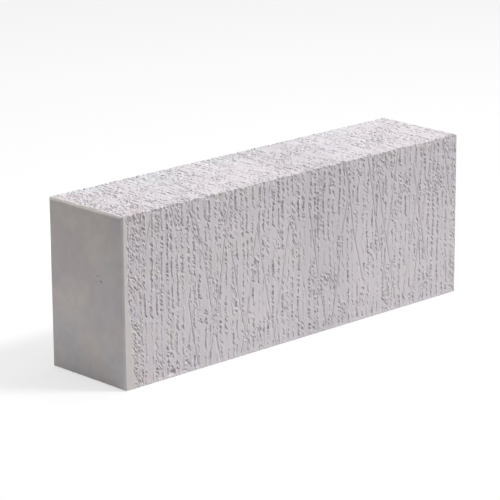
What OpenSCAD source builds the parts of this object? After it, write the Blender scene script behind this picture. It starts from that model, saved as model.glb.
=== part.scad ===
// Aerated concrete wall block, one solid piece, standing on its lower bed face.
// The four long faces are cut by wire and meet at nearly sharp arrises.
// The two ends are smooth, moulded faces, and a 45 degree bevel runs round each of them.
// X runs along the wall, Y through it, Z up. The origin is at the middle of the lower bed face.

/* [Block] */
// Length along the wall
block_length = 650; // [300:1:700]
// Height of the course
block_height = 240; // [150:1:300]
// Thickness through the wall
block_thickness = 150; // [75:1:300]

/* [Edges] */
// Leg of the bevel round each moulded end
end_bevel = 3.5; // [1:0.5:15]
// Radius worn onto the four long wire-cut arrises
arris_radius = 1; // [0.5:0.25:6]

/* [Hidden] */
concrete_grey = [0.74, 0.72, 0.73];
$fn = 48;

// Rectangle with round corners, centred on the origin.
module eased_rectangle(width, height, radius) {
  square([width, height - 2 * radius], center = true);
  square([width - 2 * radius, height], center = true);
  for (side_x = [-1, 1], side_y = [-1, 1])
    translate([side_x * (width / 2 - radius), side_y * (height / 2 - radius)])
      circle(r = radius);
}

// Rectangle with its corners cut off at 45 degrees, centred on the origin.
module bevelled_rectangle(width, height, leg) {
  half_w = width / 2;
  half_h = height / 2;
  polygon([
    [half_w, half_h - leg], [half_w - leg, half_h],
    [leg - half_w, half_h], [-half_w, half_h - leg],
    [-half_w, leg - half_h], [leg - half_w, -half_h],
    [half_w - leg, -half_h], [half_w, leg - half_h]
  ]);
}

// The bar that the wires leave: the block's section run along its whole length.
module wire_cut_bar() {
  rotate([90, 0, 90])
    linear_extrude(height = block_length, center = true)
      eased_rectangle(block_thickness, block_height, arris_radius);
}

// Seen from above: bevels on the upright edges of both ends.
module upright_end_bevels() {
  linear_extrude(height = block_height, center = true)
    bevelled_rectangle(block_length, block_thickness, end_bevel);
}

// Seen from the front: bevels on the level edges of both ends.
module level_end_bevels() {
  rotate([90, 0, 0])
    linear_extrude(height = block_thickness, center = true)
      bevelled_rectangle(block_length, block_height, end_bevel);
}

module block() {
  color(concrete_grey)
    translate([0, 0, block_height / 2])
      intersection() {
        wire_cut_bar();
        upright_end_bevels();
        level_end_bevels();
      }
}

block();
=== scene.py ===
import math

import bmesh
import bpy
from mathutils import Matrix, Vector


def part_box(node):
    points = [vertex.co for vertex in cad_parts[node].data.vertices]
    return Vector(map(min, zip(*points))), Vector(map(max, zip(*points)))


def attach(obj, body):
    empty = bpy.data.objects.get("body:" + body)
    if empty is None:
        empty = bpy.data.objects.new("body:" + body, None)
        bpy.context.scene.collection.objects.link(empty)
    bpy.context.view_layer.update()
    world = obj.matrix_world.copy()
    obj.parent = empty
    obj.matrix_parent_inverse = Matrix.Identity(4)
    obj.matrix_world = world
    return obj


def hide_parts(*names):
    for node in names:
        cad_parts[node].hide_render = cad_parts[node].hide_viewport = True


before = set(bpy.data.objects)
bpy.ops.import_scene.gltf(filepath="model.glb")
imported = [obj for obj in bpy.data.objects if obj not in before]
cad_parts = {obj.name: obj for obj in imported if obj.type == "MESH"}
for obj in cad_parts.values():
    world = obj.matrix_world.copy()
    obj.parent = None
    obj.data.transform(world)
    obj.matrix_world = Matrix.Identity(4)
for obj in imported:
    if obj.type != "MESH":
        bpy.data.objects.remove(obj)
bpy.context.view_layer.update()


# The block
# One solid piece of autoclaved aerated concrete, cut from a cast cake by wires while it is still soft.
# The wires tear pits and grooves into its four long faces. The two ends are smooth from the mould's wall,
# with a small bevel round each, and a narrow smooth margin is left beside them.
block_low, block_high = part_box("block")
block_middle = (block_low + block_high) / 2
block_length, block_thickness, block_height = block_high - block_low
end_bevel = 0.0035
arris_radius = 0.001
flake_end = -0.236
pinholes_middle = Vector((block_low.x, -0.026, 0.145))
pinholes_reach = 0.012
most_triangles = 195000
wire_cut_concrete = bpy.data.materials.new("wire_cut_concrete")
moulded_concrete = bpy.data.materials.new("moulded_concrete")


def pick_edges(belongs):
    """Select only the edges whose two corners pass the test."""
    bpy.ops.mesh.select_all(action="DESELECT")
    shape = bmesh.from_edit_mesh(bpy.context.object.data)
    for edge in shape.edges:
        edge.select_set(belongs(*[corner.co for corner in edge.verts]))
    shape.select_flush_mode()
    bmesh.update_edit_mesh(bpy.context.object.data)


def pick_faces(belongs):
    """Select only the faces whose middle passes the test."""
    bpy.ops.mesh.select_all(action="DESELECT")
    shape = bmesh.from_edit_mesh(bpy.context.object.data)
    for face in shape.faces:
        face.select_set(belongs(face.calc_center_median()))
    bmesh.update_edit_mesh(bpy.context.object.data)


def on_end_rim(first, second):
    """True for an edge round one of the two ends."""
    reach = block_length / 2 - 1e-5
    return min(first.x * second.x, abs(first.x) * reach, abs(second.x) * reach) > reach * reach


def runs_along(axis, least_length):
    """A test for edges that run along one axis and are at least that long."""
    def runs(first, second):
        step = second - first
        return abs(step[axis]) > least_length and abs(step[axis]) > 0.999 * step.length
    return runs


def divide(axis, run, shares):
    """Divide the faces along one axis, first into so many parts and then each of those again."""
    for share in shares:
        pick_edges(runs_along(axis, 0.9 * run))
        bpy.ops.mesh.subdivide(number_cuts=share - 1)
        run /= share


bpy.ops.object.select_all(action="DESELECT")
bpy.ops.mesh.primitive_cube_add(size=1, location=block_middle,
                                scale=(block_length, block_thickness, block_height))
block = bpy.context.object
block.name = block.data.name = "wire_cut_block"
block.data.uv_layers[0].name = "OFBake"
bpy.ops.object.transform_apply(location=True, rotation=True, scale=True)
bpy.ops.object.mode_set(mode="EDIT")
bpy.ops.mesh.select_mode(type="EDGE")
pick_edges(on_end_rim)
bpy.ops.mesh.bevel(offset=end_bevel, segments=3, profile=0.3, affect="EDGES")
pick_edges(runs_along(0, 0.9 * block_length))
bpy.ops.mesh.bevel(offset=arris_radius, segments=2, affect="EDGES")
bpy.ops.mesh.select_all(action="SELECT")
bpy.ops.uv.smart_project(angle_limit=math.radians(60), island_margin=0.004)
divide(2, block_height - 2 * end_bevel, (16, 10))
divide(1, block_thickness - 2 * end_bevel, (10, 10))
divide(0, block_length - 2 * end_bevel, (25, 31))
block.data.materials.append(wire_cut_concrete)
block.data.materials.append(moulded_concrete)
pick_faces(lambda middle: abs(middle.x) > block_length / 2 - end_bevel)
block.active_material_index = 1
bpy.ops.object.material_slot_assign()
pick_faces(lambda middle: (middle - pinholes_middle).length < pinholes_reach)
bpy.ops.mesh.subdivide(number_cuts=3)
bpy.ops.object.mode_set(mode="OBJECT")


def add_node(tree, kind, inputs=(), **options):
    """Add a node, set its options and fill its inputs, named by name or place, with values or links."""
    node = tree.nodes.new(kind)
    for name, value in options.items():
        setattr(node, name, value)
    for name, value in dict(inputs).items():
        if isinstance(value, bpy.types.NodeSocket):
            tree.links.new(value, node.inputs[name])
        else:
            node.inputs[name].default_value = value
    return node


def math_of(tree, operation, *values):
    """One sum on numbers."""
    return add_node(tree, "ShaderNodeMath", enumerate(values), operation=operation).outputs[0]


def vector_of(tree, operation, *values):
    """One sum on vectors."""
    return add_node(tree, "ShaderNodeVectorMath", enumerate(values), operation=operation).outputs[0]


def add_up(tree, start, *terms):
    """Add terms to a start. Each term is a value and what it is multiplied by."""
    for value, factor in terms:
        start = math_of(tree, "MULTIPLY_ADD", value, factor, start)
    return start


def product(tree, first, *others):
    """Multiply any number of values."""
    for value in others:
        first = math_of(tree, "MULTIPLY", first, value)
    return first


def largest(tree, first, *others):
    """The largest of any number of values."""
    for value in others:
        first = math_of(tree, "MAXIMUM", first, value)
    return first


def size_of(tree, value):
    """A number without its sign."""
    return math_of(tree, "ABSOLUTE", value)


def rest_of(tree, share):
    """What a share leaves of one."""
    return math_of(tree, "SUBTRACT", 1.0, share)


def ramp(tree, value, start, stop, low=0.0, high=1.0, shape="SMOOTHSTEP"):
    """Go from low to high as the value goes from start to stop, smoothly unless the shape is LINEAR."""
    inputs = {0: value, 1: start, 2: stop, 3: low, 4: high}
    return add_node(tree, "ShaderNodeMapRange", inputs, interpolation_type=shape).outputs[0]


def parts_of(tree, vector):
    """The three numbers of a vector or a colour."""
    return add_node(tree, "ShaderNodeSeparateXYZ", {0: vector}).outputs


def flat(tree, across, up, wide, tall):
    """A place on the unrolled long faces, measured in cells so wide and so tall."""
    inputs = {0: math_of(tree, "DIVIDE", across, wide), 1: math_of(tree, "DIVIDE", up, tall)}
    return add_node(tree, "ShaderNodeCombineXYZ", inputs).outputs[0]


def noise(tree, place, detail=0.0, dimensions="2D", scale=1.0):
    """Even noise about one half."""
    inputs = {"Vector": place, "Scale": scale, "Detail": detail}
    return add_node(tree, "ShaderNodeTexNoise", inputs, noise_dimensions=dimensions).outputs[0]


def nearest(tree, value, spacing, stray):
    """The nearest of a row of marks about so far apart: how far past it, and three chances of its own."""
    scaled = math_of(tree, "DIVIDE", value, spacing)
    marks = add_node(tree, "ShaderNodeTexVoronoi", {"W": scaled, "Scale": 1.0, "Randomness": stray},
                     voronoi_dimensions="1D")
    past = product(tree, math_of(tree, "SUBTRACT", scaled, marks.outputs["W"]), spacing)
    return past, *parts_of(tree, marks.outputs["Color"])


def scattered(tree, place):
    """Marks scattered one to a cell: the nearest one's Distance, its chances as Color, and its Position."""
    inputs = {"Vector": place, "Scale": 1.0}
    return add_node(tree, "ShaderNodeTexVoronoi", inputs, voronoi_dimensions="2D").outputs


def oval_away(tree, sideways, rise, half_width, half_length):
    """How far a place is from the middle of an oval, as a share of the oval's own reach."""
    share_across = math_of(tree, "DIVIDE", sideways, half_width)
    share_up = math_of(tree, "DIVIDE", rise, half_length)
    squares = add_up(tree, product(tree, share_across, share_across), (share_up, share_up))
    return math_of(tree, "SQRT", squares)


# The wires' marks are measured in millimetres on the four long faces, unrolled into one sheet
def torn_chains(tree, across, up, crumble, patch, on_bed):
    """Upright columns of torn beads and of lines with a hooked foot: shares of pit, lip and torn ground."""
    column_spacing = 9.8
    stretch_length = 37.0
    bead_spacing = 6.2
    foot_length = 5.0
    foot_hook = 3.0
    torn_reach = 4.4
    line_share = 0.7
    past, column_chance, other_chance, vigour = nearest(tree, across, column_spacing, 0.38)
    # Each column is broken into stretches of its own, some of leaning beads and some of unbroken line
    whole_rows = math_of(tree, "FLOOR", product(tree, other_chance, 100.0))
    own_up = add_up(tree, up, (column_chance, 9.0), (whole_rows, stretch_length))
    rise, shift, reach, kind = nearest(tree, own_up, stretch_length, 0.3)
    half_stretch = add_up(tree, 15.0, (reach, 5.0))
    within = ramp(tree, math_of(tree, "SUBTRACT", size_of(tree, rise), half_stretch), 1.0, -2.0)
    foot = ramp(tree, math_of(tree, "ADD", rise, half_stretch), foot_length, 0.0)
    unbroken = ramp(tree, add_up(tree, kind, (on_bed, -0.5)), 0.53, 0.63)
    broken = rest_of(tree, product(tree, unbroken, 0.75))
    # Some columns, stretches and patches are torn more than others, and the bed faces less
    strength = add_up(tree, -0.85, (reach, 0.45), (vigour, 0.4), (patch, 1.5))
    strength = ramp(tree, strength, -0.1, 0.75, 0.3, 1.0)
    strength = product(tree, strength, add_up(tree, 1.0, (on_bed, -0.36)))
    bead_row = add_up(tree, up, (other_chance, 900.0))
    bead_up, lean, bead_shift, bead_chance = nearest(tree, bead_row, bead_spacing, 0.95)
    leaning = product(tree, bead_up, lean, broken)
    sideways = add_up(tree, past, (shift, 1.8), (foot, -foot_hook), (leaning, 0.8),
                      (product(tree, bead_shift, broken), 1.2))
    sideways = math_of(tree, "SUBTRACT", sideways, 1.4)
    half_width = add_up(tree, 0.63, (strength, 0.78), (bead_chance, 0.58), (on_bed, -0.25))
    half_length = add_up(tree, 1.8, (bead_chance, 1.6), (on_bed, -0.3))
    away = add_up(tree, oval_away(tree, sideways, bead_up, half_width, half_length), (crumble, 1.6))
    strength = product(tree, strength, within)
    bead_depth = product(tree, add_up(tree, 0.65, (bead_chance, 0.65)),
                         largest(tree, broken, ramp(tree, bead_chance, 0.35, 0.75)))
    bead = product(tree, ramp(tree, away, 1.1, 2.0, 1.0, 0.0), bead_depth)
    from_line = math_of(tree, "DIVIDE", size_of(tree, sideways), add_up(tree, 0.42, (strength, 0.52)))
    line = ramp(tree, add_up(tree, from_line, (crumble, 1.6)), 1.1, 2.0, 1.0, 0.0)
    pit = product(tree, largest(tree, bead, product(tree, line, unbroken, line_share)), strength)
    lip = product(tree, ramp(tree, away, 1.7, 2.5), ramp(tree, sideways, 3.6, 1.2),
                  ramp(tree, sideways, -0.4, 0.8), strength)
    torn = product(tree, ramp(tree, size_of(tree, sideways), torn_reach, 1.5), strength)
    return pit, lip, torn


def slanting_grooves(tree, across, up, slope, spacing):
    """Thin grooves that slant across the columns, each over its own stretch: shares of groove and side."""
    half_width = 1.5
    side_reach = 4.2
    half_stretch = 90.0
    past, own_chance, strength = nearest(tree, add_up(tree, across, (up, slope)), spacing, 0.9)[:3]
    past = size_of(tree, past)
    rise = nearest(tree, add_up(tree, up, (own_chance, 600.0)), 190.0, 0.5)[0]
    within = product(tree, ramp(tree, size_of(tree, rise), half_stretch, 65.0),
                     ramp(tree, strength, 0.0, 0.35))
    groove = product(tree, ramp(tree, past, half_width, 0.0), within)
    side = product(tree, ramp(tree, past, side_reach, 2.0), within)
    return groove, side


def torn_commas(tree, across, up, crumble):
    """Short leaning commas close together: shares of pit and lip."""
    wide, tall = 5.6, 6.0
    half_width, half_length = 1.3, 3.3
    commas = scattered(tree, flat(tree, across, up, wide, tall))
    chance, lean = parts_of(tree, commas["Color"])[:2]
    middle_across, middle_up = parts_of(tree, commas["Position"])[:2]
    rise = add_up(tree, up, (middle_up, -tall))
    leaning = product(tree, rise, add_up(tree, 0.4, (lean, 0.9)))
    sideways = add_up(tree, across, (middle_across, -wide), (leaning, 1.0))
    away = add_up(tree, oval_away(tree, sideways, rise, half_width, half_length), (crumble, 1.3))
    present = ramp(tree, chance, 0.25, 0.7)
    pit = product(tree, ramp(tree, away, 1.1, 1.9, 1.0, 0.0), present)
    lip = product(tree, ramp(tree, away, 1.75, 2.25), ramp(tree, away, 3.3, 2.3),
                  ramp(tree, sideways, 0.0, half_width), present)
    return pit, lip


def broken_arrises(tree, x, rise, from_arris, crumble):
    """Notches broken out of the arrises here and there, shallower low down: a share of their depth."""
    notch_spacing = 5.5
    past, chance, reach = nearest(tree, x, notch_spacing, 0.9)[:3]
    past = add_up(tree, size_of(tree, past), (crumble, 2.0))
    past_reach = math_of(tree, "SUBTRACT", from_arris, product(tree, reach, 4.0))
    return product(tree, ramp(tree, past, 3.2, 1.4), ramp(tree, past_reach, 2.0, -1.0),
                   ramp(tree, chance, 0.2, 0.7), ramp(tree, rise, 20.0, 60.0, 0.3, 1.0))


def broken_flake(tree, x, through, rise, crumble):
    """A flake broken out above the lower front arris, sloping in to a steep right wall: a share of depth."""
    flake_length = 15.0
    flake_height = 13.0
    past = math_of(tree, "SUBTRACT", x, 1000 * flake_end)
    return product(tree, ramp(tree, past, -flake_length, 0.0), ramp(tree, past, 3.0, 0.5),
                   ramp(tree, add_up(tree, rise, (crumble, 3.0)), flake_height, 10.0),
                   ramp(tree, rise, 0.5, 3.0), ramp(tree, through, 8.0, 2.0))


def beyond_margin(tree, x, up, rise, from_end, on_bed, right, crumble):
    """0 in the smooth margin beside each end, widest low down on the left, and 1 where the wires tore."""
    narrower_right = 13.0
    narrower_on_bed = 11.0
    narrower_high_up = 7.0
    narrower = largest(tree, product(tree, right, narrower_right), product(tree, on_bed, narrower_on_bed),
                       ramp(tree, rise, 30.0, 150.0, 0.0, narrower_high_up))
    ragged = noise(tree, flat(tree, x, up, 9, 12), 1.0)
    return ramp(tree, add_up(tree, narrower, (from_end, 1.0), (crumble, 5.0), (ragged, 12.0)), 23.0, 26.5)


def wire_cut_marks(tree, place):
    """The marks at an uncut place: depth in millimetres, shares of pit and lip, and 0 in the margin."""
    skin_depth = 0.25
    pit_depth = 1.45
    groove_depth = 1.0
    lip_height = 1.4
    streak_depth = 0.4
    crumb_height = 1.8
    notch_depth = 2.1
    flake_depth = 4.5
    least_depth = 0.05
    margin_depth = 0.6
    half_length = 500 * block_length
    thickness = 1000 * block_thickness
    height = 1000 * block_height
    rounding = 1000 * arris_radius
    x, y, z = parts_of(tree, vector_of(tree, "MULTIPLY", place, (1000, 1000, 1000)))
    # The long faces are unrolled: x runs along them and up goes round them
    through = ramp(tree, y, rounding - thickness / 2, thickness / 2 - rounding, 0.0, thickness, "LINEAR")
    rise = ramp(tree, z, rounding, height - rounding, 0.0, height, "LINEAR")
    behind = math_of(tree, "GREATER_THAN", math_of(tree, "DIVIDE", through, thickness),
                     math_of(tree, "DIVIDE", rise, height))
    up = add_up(tree, math_of(tree, "ADD", through, rise), (behind, 1000.0))
    from_end = math_of(tree, "SUBTRACT", half_length, size_of(tree, x))
    from_sides = math_of(tree, "MINIMUM", through, math_of(tree, "SUBTRACT", thickness, through))
    from_beds = math_of(tree, "MINIMUM", rise, math_of(tree, "SUBTRACT", height, rise))
    from_arris = largest(tree, from_sides, from_beds)
    on_bed = math_of(tree, "GREATER_THAN", from_sides, from_beds)
    right = math_of(tree, "GREATER_THAN", x, 0.0)

    sway = add_up(tree, x, (noise(tree, flat(tree, x, up, 40, 90)), 6.0))
    wander = add_up(tree, sway, (noise(tree, flat(tree, x, up, 12, 16)), 1.2))
    crumble = noise(tree, flat(tree, add_up(tree, x, (up, 0.5)), up, 2.0, 3.6), 1.0)
    # The tearing is deeper in some patches and towards the top of the upright faces
    upper = product(tree, ramp(tree, rise, 140.0, 175.0), rest_of(tree, on_bed))
    patch = add_up(tree, noise(tree, flat(tree, x, up, 16, 45), 1.0), (upper, 0.14))
    # Commas take the columns' place in a band beside each end, narrower on the right, and in patches
    band = largest(tree, ramp(tree, add_up(tree, from_end, (right, 18.0)), 40.0, 26.0),
                   ramp(tree, noise(tree, flat(tree, x, up, 17, 50)), 0.63, 0.75))
    smooth = rest_of(tree, band)

    groove, side = slanting_grooves(tree, sway, up, 0.2, 50.0)
    other_groove, other_side = slanting_grooves(tree, sway, up, -0.18, 57.0)
    groove = largest(tree, groove, other_groove)
    side = product(tree, largest(tree, side, other_side), smooth, rest_of(tree, on_bed))
    chain, chain_lip, chain_torn = torn_chains(tree, wander, up, crumble, patch, on_bed)
    comma, comma_lip = torn_commas(tree, x, up, crumble)
    chain_share = product(tree, add_up(tree, 1.0, (band, -0.6)), add_up(tree, 1.0, (side, -0.6)))
    pit = largest(tree, product(tree, chain, chain_share), product(tree, comma, band, 0.85))
    lip = largest(tree, product(tree, chain_lip, chain_share), product(tree, comma_lip, band))
    bed_torn = largest(tree, ramp(tree, noise(tree, flat(tree, x, up, 55, 45)), 0.4, 0.56, 0.35, 1.0),
                       ramp(tree, from_arris, 16.0, 3.0))
    bed_torn = product(tree, bed_torn, on_bed, 1.1)
    torn = largest(tree, product(tree, chain_torn, chain_share), product(tree, band, 0.8), bed_torn)
    rough = add_up(tree, 0.8, (crumble, -1.6))
    streak = noise(tree, flat(tree, x, up, 1.8, 40))
    ground = product(tree, noise(tree, flat(tree, x, up, 4.5, 9), 1.0), add_up(tree, 0.5, (torn, 0.8)))
    crumbs = scattered(tree, flat(tree, x, up, 3.8, 4.4))
    crumb_chance = parts_of(tree, crumbs["Color"])[0]
    crumb = product(tree, ramp(tree, crumbs["Distance"], 0.55, 0.1), ramp(tree, crumb_chance, 0.45, 0.8),
                    torn)
    notch = broken_arrises(tree, x, rise, from_arris, crumble)
    flake = broken_flake(tree, x, through, rise, crumble)
    beyond = beyond_margin(tree, x, up, rise, from_end, on_bed, right, crumble)

    depth = add_up(tree, skin_depth, (pit, pit_depth), (product(tree, groove, smooth), groove_depth),
                   (lip, -lip_height), (streak, streak_depth), (torn, rough), (crumb, -crumb_height),
                   (ground, 1.0), (notch, notch_depth))
    depth = math_of(tree, "SUBTRACT", largest(tree, depth, least_depth), margin_depth)
    depth = add_up(tree, margin_depth, (depth, beyond))
    # The lower arrises stay crisp, and the ends themselves are not cut
    crisp = product(tree, ramp(tree, from_arris, 5.0, 0.0), ramp(tree, rise, 60.0, 20.0))
    depth = largest(tree, depth, product(tree, flake, flake_depth))
    off_end = ramp(tree, from_end, 0.0, 1000 * end_bevel)
    depth = product(tree, depth, add_up(tree, 1.0, (crisp, -0.6)), off_end)
    return depth, product(tree, pit, beyond), product(tree, lip, beyond), beyond


def pinholes(tree, place):
    """Three small air holes in the left end: depth in millimetres."""
    holes = ((-0.0055, -0.0015, 0.0019), (0.0015, 0.005, 0.0015), (0.0045, -0.004, 0.0012))
    depth = 0.0
    for away_y, away_z, radius in holes:
        inputs = {0: place, 1: pinholes_middle + Vector((0, away_y, away_z))}
        away = add_node(tree, "ShaderNodeVectorMath", inputs, operation="DISTANCE").outputs["Value"]
        depth = largest(tree, depth, ramp(tree, away, radius, 0.4 * radius, 0.0, 800 * radius))
    return depth


def start_cut(name):
    """Begin a Geometry Nodes tree: (the tree, the shape that comes in, the place of its points)."""
    tree = bpy.data.node_groups.new(name, "GeometryNodeTree")
    for way in ("INPUT", "OUTPUT"):
        tree.interface.new_socket("Geometry", in_out=way, socket_type="NodeSocketGeometry")
    return (tree, tree.nodes.new("NodeGroupInput").outputs[0],
            tree.nodes.new("GeometryNodeInputPosition").outputs[0])


def make_cut(tree, shape):
    """End a Geometry Nodes tree with a finished shape, and apply it to the block."""
    tree.links.new(shape, tree.nodes.new("NodeGroupOutput").inputs[0])
    block.modifiers.new(tree.name, "NODES").node_group = tree
    bpy.ops.object.modifier_apply(modifier=tree.name)


# The uncut place of each point is kept for the material
carving, uncut, place = start_cut("carving")
marked = add_node(carving, "GeometryNodeStoreNamedAttribute", data_type="FLOAT_VECTOR", domain="POINT")
carving.links.new(uncut, marked.inputs["Geometry"])
carving.links.new(place, marked.inputs["Value"])
marked.inputs["Name"].default_value = "uncut_place"
depth = largest(carving, wire_cut_marks(carving, place)[0], pinholes(carving, place))
# Each point moves towards the nearest place of an inner box, so that nothing folds over at an arris
core_cover = Vector((0.006, 0.006, 0.006))
core = vector_of(carving, "MAXIMUM", place, block_low + core_cover)
core = vector_of(carving, "MINIMUM", core, block_high - core_cover)
inward = vector_of(carving, "NORMALIZE", vector_of(carving, "SUBTRACT", core, place))
inward = add_node(carving, "ShaderNodeVectorMath", {0: inward, "Scale": product(carving, depth, 0.001)},
                  operation="SCALE").outputs[0]
inputs = {"Geometry": marked.outputs[0], "Offset": inward}
make_cut(carving, add_node(carving, "GeometryNodeSetPosition", inputs).outputs[0])
thinning = block.modifiers.new("thinning", "DECIMATE")
thinning.ratio = most_triangles / sum(len(face.vertices) - 2 for face in block.data.polygons)
bpy.ops.object.modifier_apply(modifier="thinning")
# Thinning can push a point a little past the block's own size
trimming, uncut, place = start_cut("trimming")
inside = vector_of(trimming, "MINIMUM", vector_of(trimming, "MAXIMUM", place, block_low), block_high)
inputs = {"Geometry": uncut, "Position": inside}
make_cut(trimming, add_node(trimming, "GeometryNodeSetPosition", inputs).outputs[0])
bpy.ops.object.shade_smooth_by_angle(angle=math.radians(30))
shading = block.modifiers.new("shading", "WEIGHTED_NORMAL")
shading.keep_sharp = True
bpy.ops.object.modifier_apply(modifier="shading")


def shader_of(material):
    """Turn on a material's nodes: (its node tree, its shader)."""
    material.use_nodes = True
    return material.node_tree, material.node_tree.nodes["Principled BSDF"]


def blend(tree, share, first, second):
    """Mix two colours by a share."""
    return add_node(tree, "ShaderNodeMix", {0: share, 6: first, 7: second}, data_type="RGBA").outputs[2]


def roughen(tree, shader, height, strength):
    """Give a shader a bump from a height in metres."""
    bump = add_node(tree, "ShaderNodeBump", {"Height": height, "Distance": 1.0, "Strength": strength})
    tree.links.new(bump.outputs[0], shader.inputs["Normal"])


# The wire-cut faces: pale grey, yellowish and pink in patches towards the left, with a cool bloom along
# the back of the top and a slightly darker stretch right of the middle
cool_concrete = (0.66, 0.626, 0.66, 1)
warm_concrete = (0.68, 0.636, 0.664, 1)
yellow_patch = (0.655, 0.64, 0.60, 1)
pink_stain = (0.69, 0.60, 0.61, 1)
cool_bloom = (0.685, 0.69, 0.715, 1)
darker_concrete = (0.58, 0.55, 0.575, 1)
darker_middle = 0.05
margin_cream = (0.68, 0.642, 0.625, 1)
# Painted highlight: the raised lips are made whiter, as if catching the light
lip_painted_highlight = (0.88, 0.84, 0.86, 1)
grain_shade = (0.50, 0.47, 0.49, 1)
# Painted shade for the pits
pit_painted_shade = (0.33, 0.31, 0.32, 1)
tree, shader = shader_of(wire_cut_concrete)
place = add_node(tree, "ShaderNodeAttribute", attribute_name="uncut_place").outputs["Vector"]
depth, pit, lip, beyond = wire_cut_marks(tree, place)
along, through, rise = parts_of(tree, place)
from_left = math_of(tree, "SUBTRACT", along, block_low.x)
from_darker = size_of(tree, math_of(tree, "SUBTRACT", along, darker_middle))
on_top = ramp(tree, rise, block_high.z - 0.002, block_high.z - 0.001)
grain = noise(tree, place, 2.0, "3D", 900.0)
cloud = noise(tree, place, 1.0, "3D", 14.0)
yellow = product(tree, ramp(tree, noise(tree, place, 1.0, "3D", 33.0), 0.54, 0.68),
                 ramp(tree, from_left, 0.4, 0.15, 0.15, 0.38))
stain = product(tree, ramp(tree, from_left, 0.075, 0.03),
                ramp(tree, noise(tree, place, 1.0, "3D", 28.0), 0.45, 0.62))
bloom = product(tree, ramp(tree, noise(tree, place, 1.0, "3D", 17.0), 0.42, 0.55),
                ramp(tree, through, -0.01, 0.06), on_top)
darker = ramp(tree, from_darker, 0.085, 0.025)
# Painted shade darkens the pits, less on the top
painted_pit_shade_share = product(tree, pit, add_up(tree, 0.22, (on_top, -0.17)))
colour = blend(tree, ramp(tree, cloud, 0.35, 0.65), cool_concrete, warm_concrete)
colour = blend(tree, yellow, colour, yellow_patch)
colour = blend(tree, product(tree, stain, 0.4), colour, pink_stain)
colour = blend(tree, product(tree, bloom, 0.7), colour, cool_bloom)
colour = blend(tree, product(tree, darker, 0.5), colour, darker_concrete)
colour = blend(tree, beyond, margin_cream, colour)
# Painted highlight on the raised lips
colour = blend(tree, product(tree, lip, 0.5), colour, lip_painted_highlight)
colour = blend(tree, product(tree, ramp(tree, grain, 0.5, 0.3), 0.2), colour, grain_shade)
colour = blend(tree, painted_pit_shade_share, colour, pit_painted_shade)
tree.links.new(colour, shader.inputs["Base Color"])
tree.links.new(add_up(tree, 0.86, (grain, 0.2)), shader.inputs["Roughness"])
roughen(tree, shader, add_up(tree, product(tree, depth, -0.001), (grain, 0.0003)), 0.35)
shader.inputs["Specular IOR Level"].default_value = 0.2

# The moulded ends: smooth and cloudy, with faint smudges, and painted shade darkening the pinholes
mould_grey = (0.625, 0.572, 0.582, 1)
mould_cream = (0.70, 0.65, 0.62, 1)
mould_bloom = (0.626, 0.609, 0.639, 1)
smudge_shade = (0.50, 0.47, 0.46, 1)
pinhole_painted_shade = (0.30, 0.28, 0.28, 1)
tree, shader = shader_of(moulded_concrete)
place = tree.nodes.new("ShaderNodeTexCoord").outputs["Object"]
holes = pinholes(tree, place)
grain = noise(tree, place, 2.0, "3D", 700.0)
cloud = noise(tree, place, 3.0, "3D", 11.0)
smudge = noise(tree, place, 2.0, "3D", 55.0)
bloom = noise(tree, place, 2.0, "3D", 7.0)
colour = blend(tree, ramp(tree, cloud, 0.36, 0.62), mould_grey, mould_cream)
colour = blend(tree, product(tree, ramp(tree, bloom, 0.5, 0.68), 0.8), colour, mould_bloom)
colour = blend(tree, product(tree, ramp(tree, smudge, 0.56, 0.4), 0.18), colour, smudge_shade)
colour = blend(tree, product(tree, ramp(tree, grain, 0.5, 0.3), 0.12), colour, smudge_shade)
# Painted shade inside the pinholes
colour = blend(tree, product(tree, holes, 0.35), colour, pinhole_painted_shade)
tree.links.new(colour, shader.inputs["Base Color"])
tree.links.new(add_up(tree, 0.72, (cloud, 0.2)), shader.inputs["Roughness"])
roughen(tree, shader, add_up(tree, product(tree, holes, -0.001), (grain, 0.0001), (cloud, 0.001)), 0.5)
shader.inputs["Specular IOR Level"].default_value = 0.25

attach(block, "root")
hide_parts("block")


# The floor
# A plain pale sheet that the block stands on. It takes the block's shadow and throws some light back up.
# It is paler where it is seen than in the light that it throws back.
thrown_back = (0.6, 0.6, 0.6, 1)
seen_white = (0.95, 0.95, 0.95, 1)
glow_share = 0.68
bpy.ops.mesh.primitive_plane_add(size=14, location=(0, 0, 0))
floor = bpy.context.object
floor.name = "floor"
pale_floor = bpy.data.materials.new("pale_floor")
floor.data.materials.append(pale_floor)
tree, shader = shader_of(pale_floor)
shader.inputs["Roughness"].default_value = 1.0
shader.inputs["Specular IOR Level"].default_value = 0.0


def seen_directly(tree):
    """1 for what is seen, straight, in a reflection or through glass, and 0 for light on the block."""
    path = tree.nodes.new("ShaderNodeLightPath")
    rays = ("Is Camera Ray", "Is Glossy Ray", "Is Transmission Ray")
    return largest(tree, *[path.outputs[ray] for ray in rays])


seen = seen_directly(tree)
tree.links.new(blend(tree, seen, thrown_back, seen_white), shader.inputs["Base Color"])
white = add_node(tree, "ShaderNodeEmission", {"Color": (1, 1, 1, 1), "Strength": 1.0}).outputs[0]
inputs = {0: product(tree, seen, glow_share), 1: shader.outputs[0], 2: white}
sheet = add_node(tree, "ShaderNodeMixShader", inputs).outputs[0]
tree.links.new(sheet, tree.nodes["Material Output"].inputs["Surface"])


# The light
# A wide sun from the front right and a large softbox overhead. Weak strips near the floor fill the left end,
# the front and the back, and the surround is almost dark except where it is seen.
surround_light = 0.03


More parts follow.
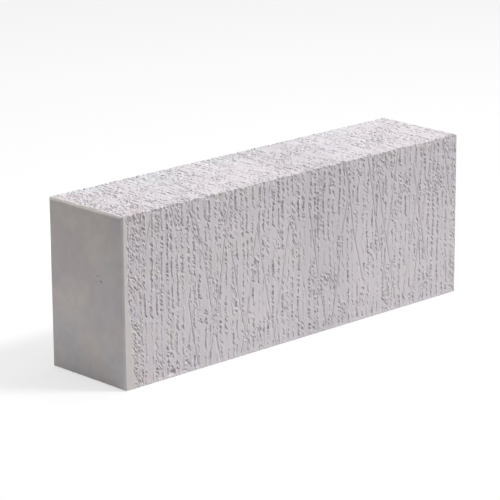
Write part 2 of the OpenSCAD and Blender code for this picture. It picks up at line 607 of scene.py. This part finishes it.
def add_lamp(name, kind, place, power, **options):
    """Hang a lamp at a place measured from the middle of the block, shining on that middle."""
    lamp = bpy.data.lights.new(name, kind)
    lamp.energy = power
    for option, value in options.items():
        setattr(lamp, option, value)
    holder = bpy.data.objects.new(name, lamp)
    bpy.context.scene.collection.objects.link(holder)
    holder.location = block_middle + Vector(place)
    holder.rotation_euler = Vector(place).to_track_quat("Z", "Y").to_euler()
    holder.visible_camera = False


add_lamp("key_lamp", "SUN", (1.05, -1.05, 2.0), 1.84, angle=math.radians(12))
add_lamp("overhead_softbox", "AREA", (0.5, -0.3, 2.3), 59.7, size=3.0)
add_lamp("left_strip", "AREA", (-0.6, 0.13, -0.1), 0.245, shape="RECTANGLE", size=0.45, size_y=0.03)
add_lamp("front_strip", "AREA", (0.02, -0.33, -0.1), 0.15, shape="RECTANGLE", size=0.8, size_y=0.03)
add_lamp("back_strip", "AREA", (0.0, 0.7, -0.05), 0.8, shape="RECTANGLE", size=0.6, size_y=0.05)
surround = bpy.data.worlds.new("surround")
bpy.context.scene.world = surround
surround.use_nodes = True
tree = surround.node_tree
backdrop = tree.nodes["Background"]
strength = ramp(tree, seen_directly(tree), 0.0, 1.0, surround_light, 1.0, "LINEAR")
tree.links.new(strength, backdrop.inputs["Strength"])
backdrop.inputs["Color"].default_value = (1, 1, 1, 1)
bpy.context.scene.view_settings.view_transform = "Standard"


# The camera
# It looks down on the left end and the front, from where the photograph was taken.
# Its place is turned about a target near the middle of the block.
image_side = 500
focal_pixels = 2644.84
sensor_width = 36.0
azimuth, elevation, roll = [math.radians(turn) for turn in (-43.4179, 16.1689, -0.3767)]
target = Vector((-0.023957, 0.000299, 0.118876))
distance_to_target = 3.71699
back = Vector((math.sin(azimuth) * math.cos(elevation), -math.cos(azimuth) * math.cos(elevation),
               math.sin(elevation)))
view = bpy.data.cameras.new("view")
view.sensor_width = sensor_width
view.lens = focal_pixels / image_side * sensor_width
view.clip_end = 100
camera = bpy.data.objects.new("view", view)
bpy.context.scene.collection.objects.link(camera)
camera.matrix_world = (Matrix.Translation(target + back * distance_to_target)
                       @ back.to_track_quat("Z", "Y").to_matrix().to_4x4() @ Matrix.Rotation(roll, 4, "Z"))
bpy.context.scene.camera = camera
